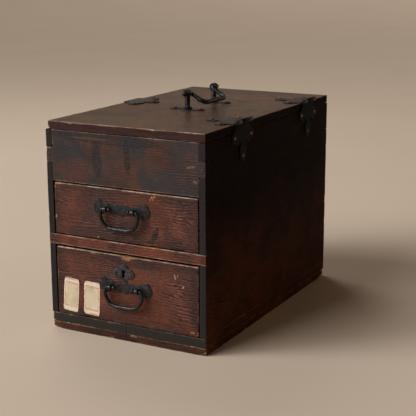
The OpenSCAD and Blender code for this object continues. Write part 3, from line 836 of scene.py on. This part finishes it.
def soften(node, material, width=0.22):
    """Keeps a CAD piece, with its edges eased by that many millimetres, and gives it its finish."""
    ob = frame["nodes"][node]
    ob.data.materials.clear()
    ob.data.materials.append(material)
    weld = ob.modifiers.new("weld", "WELD")
    weld.merge_threshold = 0.01 * MM
    ease = ob.modifiers.new("ease", "BEVEL")
    ease.width, ease.segments = width * MM, 2
    ease.limit_method, ease.angle_limit = "ANGLE", math.radians(40)
    ease.harden_normals = True
    for poly in ob.data.polygons:
        poly.use_smooth = True


# ---------------------------------------- labels

SHEET_COLUMNS, SHEET_ROWS = 36, 64
PAPER_THICK = 0.10 * MM
TORN_REACH = 7.0  # millimetres from the pull's post to the torn edge


def make_label(node, size, lean, seed, torn_at=None):
    """A paper label with ragged edges, slightly lifted off the wood.

    torn_at is the place (x, z) around which the paper is torn away.
    """
    low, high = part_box(node)
    centre = np.array([(low.x + high.x) / 2, high.y, (low.z + high.z) / 2])
    if torn_at:
        centre[0] = low.x + (size[0] * math.cos(lean) + size[1] * math.sin(lean)) * MM / 2
    wide, tall = size[0] * MM / 2, size[1] * MM / 2
    columns, rows = SHEET_COLUMNS, SHEET_ROWS
    c, n = math.cos(lean), math.sin(lean)
    grid = np.array([(s, t) for t in np.linspace(-1, 1, rows) for s in np.linspace(-1, 1, columns)])
    s, t = grid[:, 0], grid[:, 1]
    probe = np.stack([s * wide, np.full(len(s), seed * 0.7), t * tall], 1)
    ragged = 0.5 + 0.5 * waves(probe, 420, seed)
    slow = 0.5 + 0.5 * waves(probe, 120, seed + 7)
    corner = np.clip(np.abs(s) + np.abs(t) - 1.72, 0, 1) / 0.28
    inset = (0.50 * ragged + 0.60 * slow) * MM
    x = s * (wide - inset * np.abs(s) ** 6) * (1 - 0.07 * corner)
    z = t * (tall - inset * np.abs(t) ** 6) * (1 - 0.035 * corner)
    px, pz = centre[0] + x * c + z * n, centre[2] - x * n + z * c
    if torn_at:
        away = np.hypot(px - torn_at[0], pz - torn_at[1])
        reach = (TORN_REACH + 0.5 * waves(probe, 300, 3)) * MM
        push = np.maximum(away, 1e-6)
        px = np.where(away < reach, torn_at[0] + (px - torn_at[0]) / push * reach, px)
        pz = np.where(away < reach, torn_at[1] + (pz - torn_at[1]) / push * reach, pz)
    lift = (0.10 + 0.10 * ragged + 0.28 * corner * slow) * MM
    front = np.stack([px, centre[1] - lift - PAPER_THICK, pz], 1)
    back = np.stack([px, centre[1] - lift, pz], 1)
    count = rows * columns
    faces = []
    for r in range(rows - 1):
        for k in range(columns - 1):
            a = r * columns + k
            faces.append((a, a + 1, a + 1 + columns, a + columns))
            faces.append((count + a, count + a + columns, count + a + 1 + columns, count + a + 1))
    rim = list(range(columns)) + [r * columns + columns - 1 for r in range(1, rows)]
    rim += [(rows - 1) * columns + k for k in range(columns - 2, -1, -1)]
    rim += [r * columns for r in range(rows - 2, 0, -1)]
    for a, b in zip(rim, rim[1:] + rim[:1]):
        faces.append((b, a, count + a, count + b))
    ob = new_object(node + "_sheet", np.concatenate([front, back]), faces)
    sheet = paper(node + "_sheet_paper", centre, (wide, tall), lean)
    place(ob, "lower_drawer", "label_paper", sheet, node)


# ---------------------------------------- the cabinet

# each wood's dark, middle and light tone, and the tones of end grain
SIDE = ((0.018, 0.0070, 0.0040), (0.050, 0.0190, 0.0105), (0.110, 0.042, 0.021))
RED = ((0.011, 0.0050, 0.0042), (0.038, 0.0180, 0.0145), (0.105, 0.048, 0.036))
RED_LIT = ((0.013, 0.0066, 0.0066), (0.076, 0.0320, 0.0280), (0.260, 0.100, 0.068))
GREY = ((0.015, 0.0112, 0.0110), (0.054, 0.0360, 0.0335), (0.112, 0.062, 0.052))
LID = ((0.029, 0.0160, 0.0115), (0.068, 0.0405, 0.0290), (0.122, 0.076, 0.054))
LID_FRONT = (0.042, 0.0185, 0.017)
BARE = ((0.120, 0.070, 0.040), (0.235, 0.148, 0.088), (0.330, 0.220, 0.135))
BARE_END = (0.16, 0.10, 0.06)
BOTTOM_END = (0.024, 0.020, 0.019)

SHADE_FROM, SHADE_TO = 0.01, 0.145  # heights between which painted shade darkens the sides upwards

# the marks of single boards: place across and up, width, height, lean, tone, strength
PANEL_MARKS = (
    (-55, 172, 26, 13, 3, RUSSET, 1.0), (-8, 176, 20, 11, -5, RUSSET, 0.8),
    (38, 190, 16, 12, 0, RUSSET, 0.7), (5, 188, 4, 20, 3, SMUDGE, 0.8),
    (-20, 206, 70, 8, -2, SOOT, 0.9), (-30, 183, 6, 20, 4, SOOT, 0.8),
    (76, 186, 5.5, 1.3, 12, SCUFF, 0.55), (80, 172, 3.0, 1.1, -20, SCUFF, 0.4),
    (-40, 204, 26, 1.2, 0, SCUFF, 0.18))
CLAMP_MARKS = (
    (80, -141, 8, 3.5, -20, SMUDGE, 0.8), (84, -133, 3, 8, 10, SMUDGE, 0.6))
UPPER_MARKS = (
    (31.5, 151.5, 3.4, 0.7, 58, SCRATCH, 1.0), (34.3, 151.7, 3.4, 0.7, 58, SCRATCH, 1.0),
    (35.5, 116, 3.2, 8.5, -24, SMUDGE, 1.7), (30, 106.5, 5.5, 2.4, 18, SMUDGE, 1.4),
    (-31, 105, 1.4, 1.1, 0, SCRATCH, 1.0), (30, 104.5, 8, 0.8, 0, RUST_ORANGE, 0.7),
    (64, 121, 3, 0.6, 10, SCUFF, 0.4))
LOWER_MARKS = (
    (8, 84, 34, 6, -3, SMUDGE, 0.6), (-4, 73, 14, 9, 0, SMUDGE, 0.45),
    (70, 84, 18, 3, 0, SMUDGE, 0.4), (57, 76, 0.8, 2.8, 8, CREAM, 0.8),
    (60, 77, 0.6, 2.0, -6, CREAM, 0.5), (66, 67, 1.0, 2.2, -35, CREAM, 0.8),
    (76, 22, 3.0, 1.4, 0, RUST_ORANGE, 0.9), (30, 21, 4, 0.8, 0, RUST_ORANGE, 0.4))

# heights of the boards' through tabs, and the holes for the lock, all in millimetres
TAB_HEIGHTS = (176.5, 191.8)
BACK_TABS = ((40, 60), (100, 120), (160, 180))
KEYHOLE = (3.4, 9.2)  # width and height of the hole behind the keyhole plate
MORTISE = (1.0, 0.6, 4.5)  # play beside and behind the lock's bolt, and depth up into the rail


def side_boxes(node):
    """A side panel as overlapping boxes, its edges notched where the other boards come through."""
    low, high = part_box(node)
    rail_low, rail_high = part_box("drawer_rail")
    front_depth, back_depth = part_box("front_panel")[1].y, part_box("back_panel")[0].y
    tab_low, tab_high = (z * MM for z in TAB_HEIGHTS)
    boxes = [((low.x, rail_high.y, low.z), (high.x, back_depth, high.z))]
    for z0, z1, y0 in ((low.z, rail_low.z, low.y), (rail_high.z, tab_low, low.y),
                       (tab_high, high.z, low.y), (rail_high.z, high.z, front_depth)):
        boxes.append(((low.x, y0, z0), (high.x, back_depth, z1)))
    edges = [low.z, *(z * MM for pair in BACK_TABS for z in pair), high.z]
    for z0, z1 in zip(edges[::2], edges[1::2]):
        boxes.append(((low.x, rail_high.y, z0), (high.x, high.y, z1)))
    return boxes


def tabbed_boxes(node, inner, tabs):
    """A front or back board, inner wide to each side, with a tab out to the node's ends at each pair."""
    low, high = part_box(node)
    boxes = [((-inner, low.y, low.z), (inner, high.y, high.z))]
    boxes += [((low.x, low.y, z0 * MM), (high.x, high.y, z1 * MM)) for z0, z1 in tabs]
    return boxes


def make_side_wood():
    """The sides' dark, dull lacquer, with painted shade darkening it towards the top, which the flanks of
    the other outer boards share.
    """
    return wood("side_wood", "yzx", SIDE, 3, rough=0.62, gloss=0, shine=0.02, worn=0.2,
                shade_climb=(SHADE_FROM, SHADE_TO))


def bare_wood(name, grain, seed):
    """The unfinished wood of the inside."""
    return wood(name, grain, BARE, seed, BARE_END, BARE[2], rough=0.62, gloss=0.0, stained=0.35)


def make_carcass(side_wood):
    front_wood = wood("front_wood", "xzy", GREY, 5, wavy=0.5, fine=0.5, mottle=0.75,
                      shine=0.2, marks=PANEL_MARKS)
    rail_wood = wood("rail_wood", "xzy", RED_LIT, 7, wavy=0.35, shine=0.14)
    plinth_wood = wood("plinth_wood", "xzy", RED, 9, wavy=0.3, shine=0.14)
    plinth_side = wood("plinth_side_wood", "yzx", SIDE, 10, wavy=0.3, gloss=0, shine=0.05)
    bottom_wood = wood("bottom_wood", "yxz", GREY, 11, end_tone=BOTTOM_END)
    plain = bare_wood("plain_wood", "yxz", 13)
    back_wood = wood("back_wood", "xzy", RED, 4)

    def put(ob, material, node):
        place(ob, "carcass", "lacquered_wood", material, node, flank=side_wood)

    for node, seed in (("side_panel_left", 21), ("side_panel_right", 22)):
        put(board(node + "_board", side_boxes(node), seed=seed), side_wood, node)
    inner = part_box("compartment_floor")[1].x
    low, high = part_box("front_panel")
    # the panel's rubbed lines are worn wood with a painted highlight on the arris
    put(board("front_panel_board", tabbed_boxes("front_panel", inner, [TAB_HEIGHTS]), seed=23,
              rubbed=((low.z, 0.6, 0.8), (high.z, 0.5, 0.35))), front_wood, "front_panel")
    put(board("back_panel_board", tabbed_boxes("back_panel", inner, BACK_TABS), seed=24), back_wood,
        "back_panel")

    low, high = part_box("drawer_rail")
    bolt_low, bolt_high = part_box("lock_bolt")
    beside, behind, depth = (n * MM for n in MORTISE)
    mortise = ((bolt_low.x - beside, bolt_low.y - behind, low.z),
               (bolt_high.x + beside, bolt_high.y + behind, low.z + depth))
    # the rail's rubbed lines are worn wood with a painted highlight on the arris
    put(board("drawer_rail_board", around(cad_boxes("drawer_rail")[0], mortise), step=3, wear=1.3,
              seed=25, rubbed=((low.z, 0.8, 0.9), (high.z, 0.7, 0.7))), rail_wood, "drawer_rail")

    half_w, half_d = (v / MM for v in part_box("side_panel_right")[1][:2])
    bottoms = ((-half_w, -half_d, 12, 9, 1.6, 0.0), (half_w, -half_d, 12, 7, 1.0, 0.0))
    for node, seed in (("bottom_board_left", 26), ("bottom_board_right", 27)):
        put(board(node + "_board", cad_boxes(node), edge=0.7, wear=0.7, chips=bottoms, seed=seed),
            bottom_wood, node)
    feet = ((-half_w, -half_d, 0, 13, 3.4, 0.15), (half_w, -half_d, 0, 9, 1.8, 0.1),
            (half_w, half_d, 0, 17, 3.5, 0.1), (-half_w, half_d, 0, 10, 2.0, 0.1))
    for node, material, seed in (("plinth_front", plinth_wood, 28), ("plinth_back", plinth_wood, 29),
                                 ("plinth_left", plinth_side, 30), ("plinth_right", plinth_side, 31),
                                 ("plinth_middle", plinth_wood, 34)):
        put(board(node + "_strip", cad_boxes(node), edge=0.9, wear=1.4, chips=feet, sag=0.0, seed=seed),
            material, node)
    for node, seed in (("compartment_floor", 32), ("drawer_shelf", 33)):
        place(board(node + "_board", cad_boxes(node), step=9, edge=0.3, wear=0.3, seed=seed), "carcass",
              "plain_wood", plain, node)


def make_lid(side_wood):
    lacquer = dict(rough=0.32, wavy=0.5, gloss=0.03, shine=0.12)
    top_wood = wood("lid_wood", "yxz", LID, 41, fine=0.6, worn=0.5, **lacquer)
    clamp_wood = wood("clamp_wood", "xyz", LID, 43, fine=0.7, plane="xy", face=LID_FRONT,
                      marks=CLAMP_MARKS, **lacquer)
    front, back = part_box("lid_clamp_front")[1].y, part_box("lid_clamp_back")[0].y
    for node, material, seed in (("lid_panel", top_wood, 44), ("lid_clamp_front", clamp_wood, 45),
                                 ("lid_clamp_back", clamp_wood, 46)):
        low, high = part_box(node)
        if node == "lid_panel":  # without the tongues, which the clamps hide
            boxes = [((low.x, front, low.z), (high.x, back, high.z))]
        else:
            boxes = cad_boxes(node)
        # the front clamp's top arris gets a rubbed line, worn wood with a painted highlight
        rubbed = ((high.z, 0.6, 0.45),) if node == "lid_clamp_front" else ()
        place(board(node + "_board", boxes, edge=0.8, wear=1.2, seed=seed, rubbed=rubbed,
                    joints=((1, front), (1, back))),
              "lid", "lacquered_wood", material, node, flank=side_wood)


def make_drawers():
    plain = bare_wood("drawer_wood", "yzx", 51)
    insides = (("side_left", plain), ("side_right", plain),
               ("back", bare_wood("drawer_back_wood", "xzy", 52)),
               ("bottom", bare_wood("drawer_bottom_wood", "yxz", 53)))
    low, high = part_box("lower_drawer_front")
    plate_low, plate_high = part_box("keyhole_plate")
    middle = (plate_low + plate_high) / 2
    half = Vector((KEYHOLE[0], 0, KEYHOLE[1])) * MM / 2
    keyhole = ((middle.x - half.x, low.y, middle.z - half.z),
               (middle.x + half.x, high.y, middle.z + half.z))
    front, top = low.y / MM, high.z / MM
    upper_chips = ((-78, front, 155, 6, 0.8, 0.4), (40, front, 156, 9, 0.7, 0.3))
    lower_chips = ((1, front, top, 8, 4.2, 1.0), (11, front, top, 6, 1.6, 0.4),
                   (26, front, top, 7, 0.9, 0.3), (82, front, 19, 5, 1.2, 1.0))
    for kind, wavy, wood_seed, marks, chips, seed in (
            ("upper", 1.1, 55, UPPER_MARKS, upper_chips, 61),
            ("lower", 1.0, 57, LOWER_MARKS, lower_chips, 71)):
        body = kind + "_drawer"
        node = body + "_front"
        finish = wood(kind + "_front_wood", "xzy", RED_LIT, wood_seed, wavy=wavy, fade=node,
                      marks=marks)
        boxes = cad_boxes(node)
        if kind == "lower":
            boxes = around(boxes[0], keyhole)
        # the rubbed line along each front's top arris is worn wood with a painted highlight
        place(board(node + "_board", boxes, step=3, edge=0.9, wear=1.3, chips=chips, seed=seed,
                    rubbed=((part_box(node)[1].z, 0.8, 0.9),)), body, "lacquered_wood", finish, node)
        for number, (part, timber) in enumerate(insides, 1):
            node = f"{body}_{part}"
            place(board(node + "_board", cad_boxes(node), step=9, edge=0.4, wear=0.4, seed=seed + number),
                  body, "plain_wood", timber, node)


PULL_BAIL = dict(side=21.6, drop=19.2, bar=2.0, shoulder=3.0, corner=14.0, pin=1.2,
                 inner=15.85 - 2.4, outer=15.85 + 2.4, knob_outside=False)
LID_BAIL = dict(side=24, drop=20, bar=2.4, shoulder=2.7, corner=6.0, pin=1.9,
                inner=30 - 3.1, outer=30 + 3.1, knob_outside=True)
LID_BAIL_LEAN = math.radians(29)  # at rest, above the lid


def make_fittings():
    black = iron("black_iron", rust=0.10, tone=0.75, rough=0.30)
    rubbed = iron("rubbed_iron", rust=0.18, tone=1.9, rough=0.36)
    # painted shade: the hinges' side leaves, on the shaded right side, get near-black, dull iron
    leaf_iron_shade = iron("leaf_iron_painted_shade", rust=0.15, tone=0.16, rough=0.75, metal=0.0, shine=0.08)
    plate = iron("plate_iron", rust=0.28, tone=0.9, rough=0.48)
    rusty = iron("nail_iron", rust=0.95, tone=1.6, rough=0.5)
    for kind, seed in (("upper", 5), ("lower", 6)):
        make_bail(kind + "_bail", ((1, 0, 0), (0, 0, 1)), PULL_BAIL, black, seed)
        for node in (kind + "_pull_post_left", kind + "_pull_post_right"):
            soften(node, black)
        soften(kind + "_pull_plate", plate, 0.3)
    leaning = (-math.cos(LID_BAIL_LEAN), 0, math.sin(LID_BAIL_LEAN))
    make_bail("lid_bail", ((0, 1, 0), leaning), LID_BAIL, black, 7)
    for node in ("lid_handle_post_front", "lid_handle_post_rear", "hinge_front_pin", "hinge_rear_pin",
                 "hasp_pin", "hasp_strap", "hasp_staple", "lock_bolt", "lock_case"):
        soften(node, black)
    # the side leaves, painted as dark as the shadow they sit in
    for node in ("hinge_front_side_leaf", "hinge_rear_side_leaf"):
        soften(node, leaf_iron_shade, 0.3)
    for node in ("lid_handle_plate_front", "lid_handle_plate_rear", "hinge_front_lid_leaf",
                 "hinge_rear_lid_leaf", "hasp_lid_leaf", "staple_plate"):
        soften(node, plate, 0.3)
    soften("keyhole_plate", rubbed, 0.5)
    for body, seed in (("carcass", 81), ("lid", 82), ("lower_drawer", 83)):
        make_nails(body, rusty, seed)


def make_labels():
    # the right label is torn where the pull's left post comes through it
    post_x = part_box("lower_pull_plate")[0].x + 6.5 * MM
    make_label("label_left", (19.4, 36.9), math.radians(4.5), 91)
    make_label("label_right", (19.9, 36.4), math.radians(3.0), 92,
               torn_at=(post_x, joint_place("lower_bail_swing")[2]))


make_camera()
make_lights()
make_floor()
# the sides' lacquer with its painted shade, also used on the other boards' flanks
side_lacquer_and_shade = make_side_wood()
make_carcass(side_lacquer_and_shade)
make_lid(side_lacquer_and_shade)
make_drawers()
make_fittings()
make_labels()
